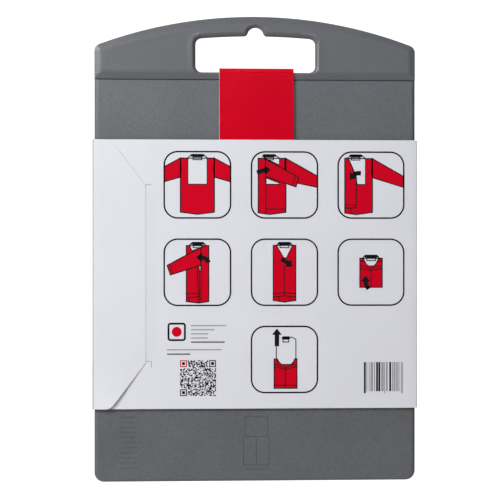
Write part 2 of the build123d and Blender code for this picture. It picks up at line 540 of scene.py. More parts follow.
def bothSides(half):
    return [(inset, -height) for inset, height in reversed(half)] + half


# a soft bead round the slot and a shallow valley inside the outer bevel, worked into a fine grid
faceRelief = {
    "grid": 1.6, "bead": 0.30, "beadAt": 3.4, "beadWidth": 1.9,
    "valley": 0.10, "valleyAt": 7.6, "valleyWidth": 1.6, "fadeFrom": 4.5, "fadeOver": 3.0, "skin": 0.1,
}


def distanceTo(outline, points):
    start = np.array(outline)
    run = np.roll(start, -1, axis=0) - start
    best = np.full(len(points), 1e9)
    for a, r in zip(start, run):
        share = np.clip(((points - a) @ r) / max(r @ r, 1e-9), 0.0, 1.0)
        best = np.minimum(best, np.linalg.norm(points - a - share[:, None] * r, axis=1))
    return best


def cutIntoGrid(work):
    pitch = faceRelief["grid"]
    for axis, low, high in ((0, handleLow.x, handleHigh.x), (2, handleLow.z, handleHigh.z)):
        normal = Vector((1, 0, 0)) if axis == 0 else Vector((0, 0, 1))
        for k in range(1, int((high - low) / pitch)):
            place = normal * (low + k * pitch) * mm
            everything = work.verts[:] + work.edges[:] + work.faces[:]
            bmesh.ops.bisect_plane(work, geom=everything, dist=tinyLength, plane_co=place, plane_no=normal)


def raiseRelief(work):
    r = faceRelief
    skinFrom = handleHigh.y - handleShape["bevelDrop"] - r["skin"]
    raised = [v for v in work.verts if abs(v.co.y) > skinFrom * mm]
    flat = np.array([(v.co.x / mm, v.co.z / mm) for v in raised])
    toSlot = distanceTo(slotOutline(0.0), flat)
    toEdge = distanceTo(handleOutline(0.0), flat)
    bead = r["bead"] * np.exp(-((toSlot - r["beadAt"]) / r["beadWidth"]) ** 2)
    bead *= np.clip((toEdge - r["fadeFrom"]) / r["fadeOver"], 0.0, 1.0)
    valley = r["valley"] * np.exp(-((toEdge - r["valleyAt"]) / r["valleyWidth"]) ** 2)
    valley *= np.clip((toSlot - r["fadeFrom"]) / r["fadeOver"], 0.0, 1.0)
    for vert, change in zip(raised, bead - valley):
        vert.co.y += math.copysign(change * mm, vert.co.y)


def makeHandle():
    body = stackPiece("carryingHandle", handleOutline, bothSides(handleProfile()), "handlePlastic")
    cutter = stackPiece("slotCutter", slotOutline, bothSides(rimProfile()), "handlePlastic")
    cutAway(body, cutter)
    workOn(body.data, cutIntoGrid, raiseRelief, dropSlivers)
    smoothMesh(body.data)
    weightNormals(body)
    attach(body, "board")
    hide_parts("handle_section")


# folding panel
panelShape = {
    "corner": 7.5, "seamShare": 0.3, "groove": 0.32,
    # (inset, drop below the face) across the edge: side, bevel, the fine line inside it, face
    "edge": (
        (0.0, 1.7), (0.08, 1.4), (0.3, 1.15), (0.6, 0.92), (1.9, 0.24), (2.1, 0.17), (2.35, 0.19),
        (2.7, 0.05), (3.4, 0.0),
    ),
    "figureCentre": 0.8, "figureTop": -308.1, "shoulder": -323.7, "figureBottom": -346.3,
    "halfTop": 8.9, "halfBottom": 10.2, "hemDrop": 2.6, "hem": -350.0,
    "tickColumns": (-106.5, -99.7), "tickLengths": (6.0, 4.4, 5.2), "tickCount": 11, "tickPitch": 4.0,
}


def panelOutline(inset):
    s = panelShape
    half, bottom = panelHigh.x, panelLow.z
    seam = handleLow.z - inset * s["seamShare"]
    right = [(0.0, bottom + inset)]
    right += between(right[0], (half - s["corner"], bottom + inset), 12)
    right += arc((half - s["corner"], bottom + s["corner"]), s["corner"] - inset, -90.0, 0.0, 10)
    right += between((half - inset, bottom + s["corner"]), (half - inset, seam), 16)
    right += [(half - inset, seam)]
    right += between((half - inset, seam), (0.0, seam), 12)
    right += [(0.0, seam)]
    return mirrored(right)


def panelProfile():
    return [(inset, panelHigh.y - drop) for inset, drop in panelShape["edge"]]


def grooveLines():
    s = panelShape
    c = s["figureCentre"]
    top, shoulder, bottom, hem = s["figureTop"], s["shoulder"], s["figureBottom"], s["hem"]
    hemSides = bottom - s["hemDrop"]
    topLeft, topRight = c - s["halfTop"], c + s["halfTop"]
    left, right = c - s["halfBottom"], c + s["halfBottom"]
    lines = [
        ((topLeft, top), (topRight, top)), ((topLeft, top), (topLeft, shoulder)),
        ((topRight, top), (topRight, shoulder)), ((left, shoulder), (right, shoulder)),
        ((left, shoulder), (left, bottom)), ((right, shoulder), (right, bottom)),
        ((left, bottom), (right, bottom)), ((c, shoulder), (c, bottom)),
        ((left, hemSides), (c, hem)), ((c, hem), (right, hemSides)),
    ]
    for column in s["tickColumns"]:
        for i in range(s["tickCount"]):
            height = top - i * s["tickPitch"]
            lines.append(((column, height), (column + s["tickLengths"][i % 3], height)))
    return lines


# many-sided rods lying in the face, so each leaves a round-bottomed groove
def grooveCutter(lines, radius, y, sides=8):
    points, faces = [], []
    for (x0, z0), (x1, z1) in lines:
        along = Vector((x1 - x0, 0, z1 - z0)).normalized() * radius * 0.5
        across = Vector((-along.z, 0, along.x)).normalized() * radius
        base = len(points)
        for end in (Vector((x0, y, z0)) - along, Vector((x1, y, z1)) + along):
            for i in range(sides):
                a = math.radians((i + 0.5) * 360.0 / sides)
                points.append(end + across * math.cos(a) + Vector((0, radius * math.sin(a), 0)))
        for i in range(sides):
            j = (i + 1) % sides
            faces.append((base + i, base + j, base + sides + j, base + sides + i))
        faces.append(tuple(base + sides - 1 - i for i in range(sides)))
        faces.append(tuple(base + sides + i for i in range(sides)))
    return addPiece("grooveCutter", points, faces, ["panelPlastic"])


def makePanel():
    body = stackPiece("foldingPanel", panelOutline, bothSides(panelProfile()), "panelPlastic")
    cutAway(body, grooveCutter(grooveLines(), panelShape["groove"], -panelHigh.y))
    weightNormals(body)
    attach(body, "board")
    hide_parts("folding_panel")


makeHandle()
makePanel()
print("board made")


# folded card
# A grid of middle-surface points becomes card of even thickness. skip(i, j) leaves a cell out, and
# every open edge gets a rim, so slits and cut outlines show their thickness.
def cardSheet(name, grid, normals, thickness, looks, zone, skip=None):
    columns, rows = len(grid), len(grid[0])
    points = []
    for side in (0.5, -0.5):
        for column, normalColumn in zip(grid, normals):
            for p, n in zip(column, normalColumn):
                points.append(Vector(p) + Vector(n) * thickness * side)
    inner = columns * rows
    cells = [(i, j) for i in range(columns - 1) for j in range(rows - 1) if not (skip and skip(i, j))]
    faces, zones = [], []
    openEdges = {}  # in the order they are met
    for i, j in cells:
        a, b = i * rows + j, (i + 1) * rows + j
        loop = (a, b, b + 1, a + 1)
        faces.append(loop)
        zones.append(zone(i, j))
        faces.append(tuple(inner + k for k in reversed(loop)))
        zones.append(looks.index("rawCard"))
        for k in range(4):
            a, b = loop[k], loop[(k + 1) % 4]
            if (b, a) in openEdges:
                del openEdges[(b, a)]
            else:
                openEdges[(a, b)] = True
    for a, b in openEdges:
        faces.append((b, a, inner + a, inner + b))
        zones.append(looks.index("cutEdge"))
    used = sorted({v for f in faces for v in f})
    renumber = {v: k for k, v in enumerate(used)}
    faces = [tuple(renumber[v] for v in f) for f in faces]
    return addPiece(name, [points[v] for v in used], faces, looks, zones, sharp=50.0)


foldSteps = 6
onPlane = 0.001


# straight runs joined by rounded folds; returns points and the unit normals on their right
def foldedPath(corners, radius, spacing):
    path = []
    count = len(corners)
    for k in range(count):
        here = Vector(corners[k])
        if k in (0, count - 1):
            ends = (here, here)
        else:
            before = (Vector(corners[k - 1]) - here).normalized()
            after = (Vector(corners[k + 1]) - here).normalized()
            turn = math.pi - before.angle(after)
            reach = radius * math.tan(turn / 2)
            ends = (here + before * reach, here + after * reach)
        if path:
            run = (ends[0] - path[-1]).length
            steps = max(1, round(run / spacing))
            start = path[-1].copy()
            path += [start.lerp(ends[0], i / steps) for i in range(1, steps + 1)]
        else:
            path.append(ends[0])
        if (ends[1] - ends[0]).length < onPlane:
            continue  # a corner in a straight run needs no fold
        path += [curved(ends[0], here, ends[1], i / foldSteps) for i in range(1, foldSteps + 1)]
    normals = []
    for i in range(len(path)):
        along = (path[min(i + 1, len(path) - 1)] - path[max(i - 1, 0)]).normalized()
        normals.append(Vector((along.y, -along.x)))
    return path, normals


sleeveShape = {
    "fold": 0.9, "spacing": 6.0, "tightFold": 0.28, "tightSpacing": 2.5, "rows": 30, "lift": 0.03,
    "slitHalf": 0.4, "slitRight": 0.24, "slitPlay": 0.4, "slitFade": 8.0, "lip": 0.46, "lipReach": 9.0,
    # painted shade: the dark grey strip on the flap's left fold reaches this far in from the fold
    "flapRise": 1.8, "flapRiseHeight": 70.0, "foldShadeReach": 0.62, "redFrom": (0.62, 1.2),
    "shoulder": -114.1, "shoulderRound": 1.1, "tongueTaper": 5.0, "taperSlope": 2.0,
}
card = backHigh.y - backLow.y
slitX = tongueLow.x + sleeveShape["slitHalf"]
sleeveTop, sleeveBottom = backHigh.z, backLow.z
slitTop = tongueHigh.z + sleeveShape["slitPlay"]
slitBottom = tongueLow.z - sleeveShape["slitPlay"]


# how far the flap's slanted ends have drawn in at x
def flapEdge(x):
    s = sleeveShape
    slope = (sleeveTop - tongueHigh.z) / (tongueLow.x - s["shoulder"])
    w = s["shoulderRound"]
    return slope * w * math.log(1.0 + math.exp(min((x - s["shoulder"]) / w, 60.0)))


def makeSleeve():
    s = sleeveShape
    backY = backLow.y + card / 2
    frontY = frontLow.y + card / 2
    flapY = flapLow.y + card / 2 - s["lift"]
    tuckY = tongueHigh.y - card / 2
    leftX = leftLow.x + card / 2
    rightX = rightHigh.x - card / 2
    corners = [
        (backLow.x, backY), (slitX - s["slitHalf"], backY), (slitX + s["slitRight"], backY),
        (slitX + s["lipReach"] * 0.33, backY), (slitX + s["lipReach"] * 0.66, backY),
        (slitX + s["lipReach"], backY),
        (rightX, backY), (rightX, frontY), (leftX, frontY), (leftX, flapY),
        (slitX, flapY), (slitX, tuckY), (tongueHigh.x, tuckY),
    ]
    path, normals = foldedPath(corners, s["fold"], s["spacing"])

    def near(p, y):
        return abs(p.y - y) < onPlane

    # from the flap on, the path is folded again with the tongue's tighter folds
    tight, tightNormals = foldedPath(corners[-4:], s["tightFold"], s["tightSpacing"])
    half = len(path) / 2
    cut = next(i for i, p in enumerate(path) if p.x > leftX + 2 and near(p, flapY) and i > half)
    tightStart = next(i for i, p in enumerate(tight) if p.x > path[cut].x + 1 and near(p, flapY))
    path = path[:cut + 1] + tight[tightStart:]
    normals = normals[:cut + 1] + tightNormals[tightStart:]
    turned = next(i for i, p in enumerate(path) if i > cut and p.y > flapY + 0.05)
    levels = [k / s["rows"] for k in range(s["rows"] + 1)]
    span = sleeveTop - sleeveBottom
    levels += [(slitTop - sleeveBottom) / span, (slitBottom - sleeveBottom) / span]
    levels = sorted(levels)
    grid, grown = [], []
    for i, p in enumerate(path):
        top, bottom = sleeveTop, sleeveBottom
        if i > cut - 1:
            drawnIn = flapEdge(min(p.x, tongueLow.x))
            top, bottom = sleeveTop - drawnIn, sleeveBottom + drawnIn
        if i >= turned:
            far = max(0.0, p.x - (tongueHigh.x - s["tongueTaper"])) * s["taperSlope"]
            top, bottom = tongueHigh.z - far, tongueLow.z + far
        column = [(p.x, p.y, bottom + (top - bottom) * v) for v in levels]
        if i < cut and near(p, backY) and p.x > slitX:
            # the card right of the slit is pushed out a little by the tongue behind it
            away = min(1.0, (p.x - slitX) / s["lipReach"])
            rise = s["lip"] * (0.5 + 0.5 * math.cos(math.pi * away))
            toEnd = [min(slitTop - z, z - slitBottom) / s["slitFade"] for x, y, z in column]
            share = [max(0.0, min(1.0, e)) for e in toEnd]
            column = [(x, y - rise * e * (2.0 - e), z) for (x, y, z), e in zip(column, share)]
        if cut <= i < turned and p.x < tongueLow.x:
            # the flap's lower corner stands off the panel a little
            share = math.sin(math.pi * (p.x - leftX) / (tongueLow.x - leftX))
            low = [max(0.0, 1.0 - (z - sleeveBottom) / s["flapRiseHeight"]) for x, y, z in column]
            column = [(x, y - s["flapRise"] * share * v * v, z) for (x, y, z), v in zip(column, low)]
        grid.append(column)
        grown.append([(normals[i].x, normals[i].y, 0.0)] * len(levels))
    onBack = [i for i in range(cut) if near(path[i], backY)]
    slitColumn = min(onBack, key=lambda i: abs(path[i].x - (slitX - s["slitHalf"])))
    slitEnd = min(onBack, key=lambda i: abs(path[i].x - (slitX + s["slitRight"])))
    low = levels.index((slitBottom - sleeveBottom) / span)
    high = levels.index((slitTop - sleeveBottom) / span)
    looks = ["whiteCard", "redCard", "rawCard", "cutEdge", "foldShadeCard"]

    # white outside, red round the sides and front, and painted shade: the flap's left fold is coloured dark
    # grey
    def zoneAt(i, j):
        middle = (path[i] + path[i + 1]) / 2
        redFrom = flapY + s["fold"] * s["redFrom"][middle.x > 0]
        if middle.x < leftX + s["foldShadeReach"] and middle.y < redFrom:
            return looks.index("foldShadeCard")
        onSide = abs(middle.x) > rightX - 0.2 and middle.y > redFrom
        return looks.index("redCard" if onSide or middle.y > frontY - 2.0 else "whiteCard")

    def inSlit(i, j):
        return slitColumn <= i < slitEnd and low <= j < high

    sleeve = cardSheet("cardSleeve", grid, grown, card, looks, zoneAt, inSlit)
    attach(sleeve, "sleeve")
    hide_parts("sleeve_front_panel", "sleeve_back_panel", "sleeve_left_side", "sleeve_right_side",
                "lock_flap", "lock_tongue")


makeSleeve()
print("sleeve folded")


# strap
strapShape = {
    "crease": 2.6, "creaseRise": 0.4, "lift": 0.8, "spacing": 0.8, "rows": 12, "join": 1.7,
    "margin": 0.22, "trim": 0.4, "bendKnee": 3.2, "bendCrease": 1.2, "bendTail": 3.0,
}
strapLow, strapHigh = upperLow.x + strapShape["trim"], upperHigh.x
creaseZ = upperHigh.z + strapShape["creaseRise"]
kneeZ = (upperLow.z + lowerHigh.z) / 2
pocketZ = sleeveTop
strapBackY = (upperLow.y + upperHigh.y) / 2
strapFrontY = frontLow.y + card / 2
peakZ = roofHigh.z - card / 2 + strapShape["lift"]


# a strip of the strap between two places along its folded path
def strapStrip(name, corners, radius):
    path, normals = foldedPath(corners, radius, strapShape["spacing"])
    rows = strapShape["rows"]
    across = [strapHigh + (strapLow - strapHigh) * k / rows for k in range(rows)]
    across += [strapLow + strapShape["margin"], strapLow]
    grid, grown = [], []
    for p, n in zip(path, normals):
        grid.append([(x, p.x, p.y) for x in across])
        grown.append([(0.0, n.x, n.y)] * len(across))
    # the red stops just short of one cut edge
    looks = ["redCard", "whiteCard", "rawCard", "cutEdge"]
    piece = cardSheet(name, grid, grown, card, looks, lambda i, j: int(j == rows))
    return piece


def makeStrap():
    s = strapShape
    slope = (peakZ - creaseZ) / -strapBackY
    joinY = strapBackY + s["join"]
    join = (joinY, creaseZ + s["join"] * slope)
    middleUpper = (creaseZ + kneeZ) / 2
    middleLower = (kneeZ + pocketZ) / 2
    overCorners = [(strapFrontY, sleeveTop), (strapFrontY, creaseZ), (0.0, peakZ), join]
    over = strapStrip("strapOver", overCorners, s["crease"])
    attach(over, "sleeve")
    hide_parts("strap_front", "strap_roof_front", "strap_roof_back")
    turn = strapStrip("strapTurn", [join, (strapBackY, creaseZ), (strapBackY, middleUpper)], s["crease"])
    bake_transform(turn)
    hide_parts("strap_back_upper")
    knee = strapStrip("strapKnee", [(strapBackY, middleUpper), (strapBackY, middleLower)], s["crease"])
    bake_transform(knee)
    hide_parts("strap_back_lower")
    tail = strapStrip("strapTail", [(strapBackY, middleLower), (strapBackY, tailLow.z)], s["crease"])
    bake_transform(tail)
    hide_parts("strap_tail")


makeStrap()
print("strap made")


# print on the back panel
# Every drawing is thin slabs of ink in layers, a few hundredths of a millimetre apart:
# red, white, black lines, then a folded shirt sleeve over them and its own lines on top.
inkLayer = {"red": 0.02, "white": 0.04, "black": 0.06, "over": 0.08, "top": 0.10}
inkRoot = 0.02
mitreLimit = 0.45
printY = backLow.y


class Ink:
    def __init__(self, name, look, layer):
        self.name, self.look, self.layer = name, look, layer
        self.points, self.faces = [], []

    # a thin slab with its back just inside the card; hole is an outline with as many points
    def fill(self, outline, hole=()):
        loops = [list(outline), list(hole)] if hole else [list(outline)]
        flat = [p for loop in loops for p in loop]
        base, count = len(self.points), len(flat)
        for y in (printY - inkLayer[self.layer], printY + inkRoot):
            self.points += [(x, y, z) for x, z in flat]
        for a, b, c in tessellate_polygon([[Vector((x, z, 0)) for x, z in loop] for loop in loops]):
            self.faces.append((base + a, base + b, base + c))
            self.faces.append((base + count + c, base + count + b, base + count + a))
        start = base
        for loop in loops:
            size = len(loop)
            for i in range(size):
                j = (i + 1) % size
                self.faces.append((start + i, start + j, start + count + j, start + count + i))
            start += size

    # a line of even width, mitred at its corners
    def line(self, path, width, closed=False):
        count = len(path)
        points = [Vector(p) for p in path]
        left, right = [], []
        for i, p in enumerate(points):
            before = (p - points[i - 1]).normalized() if i or closed else None
            after = (points[(i + 1) % count] - p).normalized() if i < count - 1 or closed else None
            before = before or after
            after = after or before
            side = Vector((-before.y - after.y, before.x + after.x)).normalized()
            square = Vector((-after.y, after.x))
            reach = width / 2 / max(mitreLimit, side.dot(square))
            left.append(tuple(p + side * reach))
            right.append(tuple(p - side * reach))
        if closed:
            self.fill(left, right)
        else:
            self.fill(left + right[::-1])

    # square cells of a pattern, with walls only where a cell has no neighbour
    def fillCells(self, cells, left, top, size):
        corners = {}

        def corner(i, j, y):
            if (i, j, y) not in corners:
                corners[(i, j, y)] = len(self.points)
                self.points.append((left + i * size, y, top - j * size))
            return corners[(i, j, y)]

        front, back = printY - inkLayer[self.layer], printY + inkRoot
        for i, j in sorted(cells):
            ring = ((i, j), (i, j + 1), (i + 1, j + 1), (i + 1, j))
            self.faces.append(tuple(corner(a, b, front) for a, b in ring))
            self.faces.append(tuple(corner(a, b, back) for a, b in reversed(ring)))
            for k, (di, dj) in enumerate(((-1, 0), (0, 1), (1, 0), (0, -1))):
                if (i + di, j + dj) in cells:
                    continue
                a, b = ring[k], ring[(k + 1) % 4]
                self.faces.append((corner(*b, front), corner(*a, front), corner(*a, back), corner(*b, back)))

    def make(self):
        if not self.faces:  # a drawing may lack a colour
            return
        piece = addPiece(self.name, self.points, self.faces, [self.look])
        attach(piece, "sleeve")


def roundedSquare(centre, half, corner, steps=8):
    x, z = centre
    points = []
    for sx, sz, start in ((1, 1, 0.0), (-1, 1, 90.0), (-1, -1, 180.0), (1, -1, 270.0)):
        centre = (x + sx * (half - corner), z + sz * (half - corner))
        points += arc(centre, corner, start, start + 90.0, steps)
    return points


def rectangle(x0, z0, x1, z1):
    return [(x0, z0), (x1, z0), (x1, z1), (x0, z1)]


def moved(points, centre):
    return [(x + centre[0], z + centre[1]) for x, z in points]


printLayout = {
    "columns": (-45.9, 22.8, 91.4), "rows": (-124.8, -193.7, -262.6),
    "frameHalf": 26.1, "frameCorner": 10.5, "frameLine": 1.2, "drawLine": 0.9, "fineLine": 0.72,
}
arrowLook = {"shaft": 1.75, "head": 3.9, "headLength": 4.9, "steps": 6}
collarLook = {
    "half": 5.6, "thick": 2.1, "chamfer": 1.2, "rise": 0.3,
    "slotShare": 0.62, "slotTop": 2.0, "slotDrop": 2.2, "line": 0.75,
}


# the shaft bends on its way from the tail to the head
def arrowOutline(tail, bend, tip):
    look = arrowLook
    start, middle, end = Vector(tail), Vector(bend), Vector(tip)
    along = (end - middle).normalized()
    neck = end - along * look["headLength"]
    left, right = [], []
    for i in range(look["steps"] + 1):
        t = i / look["steps"]
        p = curved(start, middle, neck, t)
        way = ((middle - start) * (1 - t) + (neck - middle) * t).normalized()
        side = Vector((-way.y, way.x)) * look["shaft"]
        left.append(p + side)
        right.append(p - side)
    wing = Vector((-along.y, along.x)) * look["head"]
    return [(p.x, p.y) for p in left + [neck + wing, end, neck - wing] + right[::-1]]


# the board's handle above the shirt: a solid bar with the slot drawn below it
def collarParts(x, top, share=1.0):
    c = collarLook
    half = c["half"] * share
    high = top + c["rise"]
    low = high - c["thick"]
    bar = [(x - half, low), (x - half + c["chamfer"], high), (x + half - c["chamfer"], high), (x + half, low)]
    slotHalf = half * c["slotShare"]
    slotHigh = top - c["slotTop"]
    return bar, rectangle(x - slotHalf, slotHigh - c["slotDrop"], x + slotHalf, slotHigh)


# Each step is drawn round its frame's centre, in millimetres. cloth: red outlines; board: white outlines;
# lines: black strokes; over: a folded shirt sleeve above them, with overLines on it; collar: (x, top)
# and its share of the usual size; arrow: (tail, bend, tip).
def steps():
    spread = {
        "cloth": [
            [(-13.4, 21.0), (13.3, 21.0), (13.3, -21.5), (0.0, -23.2), (-13.4, -21.5)],
            [(-13.4, 21.0), (-13.4, 6.1), (-26.1, 2.4), (-26.1, 14.2)],
            [(13.3, 21.0), (26.1, 14.2), (26.1, 2.4), (13.3, 6.1)],
        ],
        "board": [[(-7.5, 21.4), (-4.8, 23.8), (4.8, 23.8), (7.6, 21.4), (7.6, 0.5), (-7.5, 0.5)]],
        "lines": [[(-13.4, 21.0), (-12.6, 12.0), (-13.4, 6.1)], [(13.3, 21.0), (12.5, 12.0), (13.3, 6.1)]],
        "collar": (0.0, 24.0), "arrow": None,
    }
    leftBody = [(-20.8, 21.0), (1.1, 21.0), (1.1, -21.5), (-11.8, -23.3), (-20.8, -22.0)]
    leftAcross = {
        "cloth": [leftBody, [(1.0, 21.0), (26.1, 7.0), (26.1, -1.8), (10.8, 1.4), (1.0, 5.4)]],
        "board": [
            [(-17.4, 22.8), (-15.4, 23.8), (-7.6, 23.8), (-4.0, 21.2), (-4.0, 15.8), (-14.2, 20.4)],
            [(-14.6, 5.6), (-4.0, 1.4), (-4.0, 0.5), (-14.6, 0.5)],
        ],
        "over": [[(-15.0, 20.4), (11.2, 5.8), (9.0, -1.5), (-14.8, 6.6)]],
        "lines": [
            [(-14.7, 20.6), (-14.7, -22.6)], [(0.2, 21.0), (0.2, 12.2)], [(-14.6, -19.0), (0.9, -19.0)],
        ],
        "overLines": [[(8.6, 7.3), (6.4, -0.6)]],
        "collar": (-12.2, 24.0), "arrow": ((-21.8, 9.7), (-16.2, 11.6), (-10.6, 12.0)),
    }
    leftDown = {
        "cloth": [leftBody, [(1.0, 21.0), (25.8, 7.0), (25.8, -1.6), (1.0, 6.0)]],
        "board": [[
            (-18.0, 21.6), (-15.6, 23.8), (-7.6, 23.8), (-4.4, 21.2), (-4.4, 0.5), (-11.0, 0.5),
            (-12.2, 8.0),
        ]],
        "over": [
            [(-20.8, 21.0), (-18.2, 21.6), (-11.6, 6.0), (-11.9, -17.8), (-16.4, -18.2), (-20.8, -18.0)],
        ],
        "lines": [[(0.9, 21.0), (0.2, 10.0), (0.9, 6.0)], [(-16.4, -18.2), (-14.8, -23.0)]],
        "overLines": [[(-20.8, -15.8), (-12.0, -15.8)]],
        "collar": (-12.2, 24.0), "arrow": ((-8.0, 9.4), (-12.4, 9.8), (-17.1, 4.2)),
    }
    rightAcross = {
        "cloth": [[(-8.7, 21.0), (8.9, 21.0), (8.9, -23.0), (1.0, -24.2), (-8.7, -23.0)]],
        "board": [
            [(-6.2, 21.6), (-4.2, 23.4), (4.6, 23.4), (6.4, 21.6), (4.0, 20.2), (-4.4, 16.8)],
            [(1.2, 5.4), (2.6, 5.4), (2.6, 1.0), (1.7, 0.2)],
        ],
        "over": [[(2.6, 19.6), (-23.8, 5.4), (-21.2, -2.0), (2.6, 5.6)]],
        "overLines": [[(-21.8, 6.4), (-19.2, -1.4)]],
        "lines": [
            [(1.2, 5.2), (1.8, -24.0)], [(2.9, 5.2), (2.9, -22.6)], [(-8.7, -17.2), (0.6, -16.4)],
            [(-8.7, -20.0), (1.2, -19.2)], [(-0.2, 4.0), (0.6, -17.4), (0.2, -23.4)],
            [(-6.8, -20.2), (-6.2, -23.2)],
        ],
        "collar": (0.1, 23.6), "arrow": ((8.7, 7.6), (7.6, 11.2), (-1.3, 12.0)),
    }
    bothFolded = {
        "cloth": [[(-8.9, 21.2), (8.9, 21.2), (8.9, -22.2), (0.0, -23.6), (-8.9, -22.2)]],
        "board": [[(-6.4, 21.4), (-4.4, 23.4), (4.4, 23.4), (6.4, 21.4), (1.6, 11.4), (-0.6, 11.4)]],
        "lines": [
            [(-0.2, 5.4), (-0.2, -19.0)], [(-8.9, -17.0), (-0.2, -16.2), (8.9, -17.0)],
            [(-8.9, -19.6), (-0.2, -18.6), (8.9, -19.6)], [(-4.6, -19.2), (-3.6, -22.8)],
            [(4.4, -19.2), (3.8, -22.8)], [(-6.4, 21.4), (-0.6, 11.4)], [(6.4, 21.4), (1.6, 11.4)],
        ],
        "collar": (0.0, 23.6), "arrow": ((-2.7, 10.2), (1.2, 8.6), (6.4, 4.3)),
    }
    foldedUp = {
        "cloth": [[(-8.8, 11.0), (8.9, 11.0), (8.9, -11.9), (-8.8, -11.9)]],
        "board": [[
            (-6.4, 11.6), (-4.6, 13.4), (4.6, 13.4), (6.4, 11.6), (4.2, 7.0), (2.4, 5.0), (-2.2, 5.0),
            (-4.2, 7.0),
        ]],
        "lines": [
            [(0.0, 2.6), (0.0, -11.9)], [(-8.8, 5.4), (-3.6, 4.0), (0.0, 3.0), (3.6, 4.0), (8.9, 5.4)],
            [(-8.8, 3.2), (-4.0, 2.0), (0.0, 1.4), (4.0, 2.0), (8.9, 3.2)],
            [(-6.4, 11.6), (-6.6, 8.6), (-4.0, 8.0)],
            [(6.4, 11.6), (6.6, 8.6), (4.2, 8.0)], [(-8.8, 8.4), (-6.6, 8.6)], [(8.9, 8.4), (6.6, 8.6)],
        ],
        "collar": (0.2, 13.4), "arrow": ((-1.8, -13.3), (-4.3, -9.6), (-4.3, -2.5)),
    }
    pulledOut = {
        "cloth": [[
            (-8.2, 0.4), (-5.8, 0.4), (-4.6, -1.8), (-2.4, -4.0), (5.2, -4.0), (7.2, -1.8), (8.2, 0.4),
            (9.8, 0.4), (9.8, -22.7), (-8.2, -22.7),
        ]],
        "board": [],
        "lines": [
            [(-6.5, 10.2), (-6.5, 0.6)], [(9.0, 15.9), (9.0, 0.6)], [(-1.8, 17.4), (5.8, 17.6), (9.0, 15.9)],
            [(0.6, -6.6), (0.6, -22.5)], [(-8.2, -3.4), (-4.4, -4.6), (0.6, -6.6), (6.2, -4.6), (9.8, -3.4)],
            [(-8.2, -5.4), (0.6, -8.0), (9.8, -5.4)], [(-5.8, 0.4), (-5.0, -3.2)], [(7.2, -1.8), (7.0, -3.8)],
            [(-8.2, -20.4), (9.8, -20.4)],
        ],
        "collar": (1.1, 18.0, 0.66), "arrow": ((-6.0, 10.4), (-6.0, 16.0), (-6.0, 24.4)),
    }
    return [spread, leftAcross, leftDown, rightAcross, bothFolded, foldedUp, pulledOut]


def makeStep(name, centre, step):
    layout = printLayout
    red = Ink(name + "Cloth", "inkRed", "red")
    white = Ink(name + "Board", "whiteCard", "white")
    black = Ink(name + "Lines", "inkBlack", "black")
    width, fine = layout["drawLine"], layout["fineLine"]
    frameShape = roundedSquare(centre, layout["frameHalf"], layout["frameCorner"])
    black.line(frameShape, layout["frameLine"], closed=True)

    def outlined(colour, edge, outlines, edgeWidth):
        for outline in outlines:
            colour.fill(moved(outline, centre))
            edge.line(moved(outline, centre), edgeWidth, closed=True)

    outlined(red, black, step["cloth"], width)
    outlined(white, black, step["board"], fine)
    for path in step["lines"]:
        black.line(moved(path, centre), fine)
    pieces = [red, white, black]
    highest = black
    if "over" in step:
        shirtSleeve = Ink(name + "Sleeve", "inkRed", "over")
        highest = Ink(name + "SleeveEdge", "inkBlack", "top")
        pieces += [shirtSleeve, highest]
        outlined(shirtSleeve, highest, step["over"], width)
        for path in step["overLines"]:
            highest.line(moved(path, centre), fine)
    bar, slot = collarParts(*step["collar"])
    black.fill(moved(bar, centre))
    black.line(moved(slot, centre), collarLook["line"], closed=True)
    if step["arrow"]:
        highest.fill(moved(arrowOutline(*step["arrow"]), centre))
    for ink in pieces:
        ink.make()


def makeSteps():
    columns, rows = printLayout["columns"], printLayout["rows"]
    places = [(x, z) for z in rows[:2] for x in columns] + [(columns[1], rows[2])]
    for number, (centre, step) in enumerate(zip(places, steps()), start=1):
        makeStep(f"step{number}", centre, step)


# plain bars stand where small text is printed: (left, top, width), light first and then dark
smallPrint = {
    "height": 1.0,
    "light": (
        (-51.0, -235.2, 27.8), (-51.0, -238.45, 18.4), (-51.0, -241.7, 13.6), (-51.0, -244.95, 13.2),
        (-69.8, -254.2, 43.0),
    ),
    "dark": ((-51.0, -248.2, 26.6), (-69.8, -257.6, 18.2)),
}


def makeSmallPrint():
    for name, look, bars in (("addressBars", "inkGrey", "light"), ("noteBars", "inkDarkGrey", "dark")):
        ink = Ink(name, look, "black")
        for left, top, width in smallPrint[bars]:
            ink.fill(rectangle(left, top - smallPrint["height"], left + width, top))
        ink.make()


# a disc in a square is a plain mark
markShape = {"centre": (-62.2, -240.6), "half": 7.2, "corner": 1.6, "line": 1.5, "disc": 3.9}


def makeMark():
    m = markShape
    red = Ink("markDisc", "inkRed", "black")
    black = Ink("markSquare", "inkBlack", "black")
    black.line(roundedSquare(m["centre"], m["half"] - m["line"] / 2, m["corner"]), m["line"], closed=True)
    # the disc's last point stops one step short of its first
    red.fill(arc(m["centre"], m["disc"], 0.0, 352.0, 44))
    red.make()
    black.make()


# a seeded pattern of squares that carries no message, with a target in three of its corners
codeShape = {"left": -59.5, "top": -262.9, "size": 28.2, "cells": 37, "target": 7, "fill": 0.49, "seed": 11}


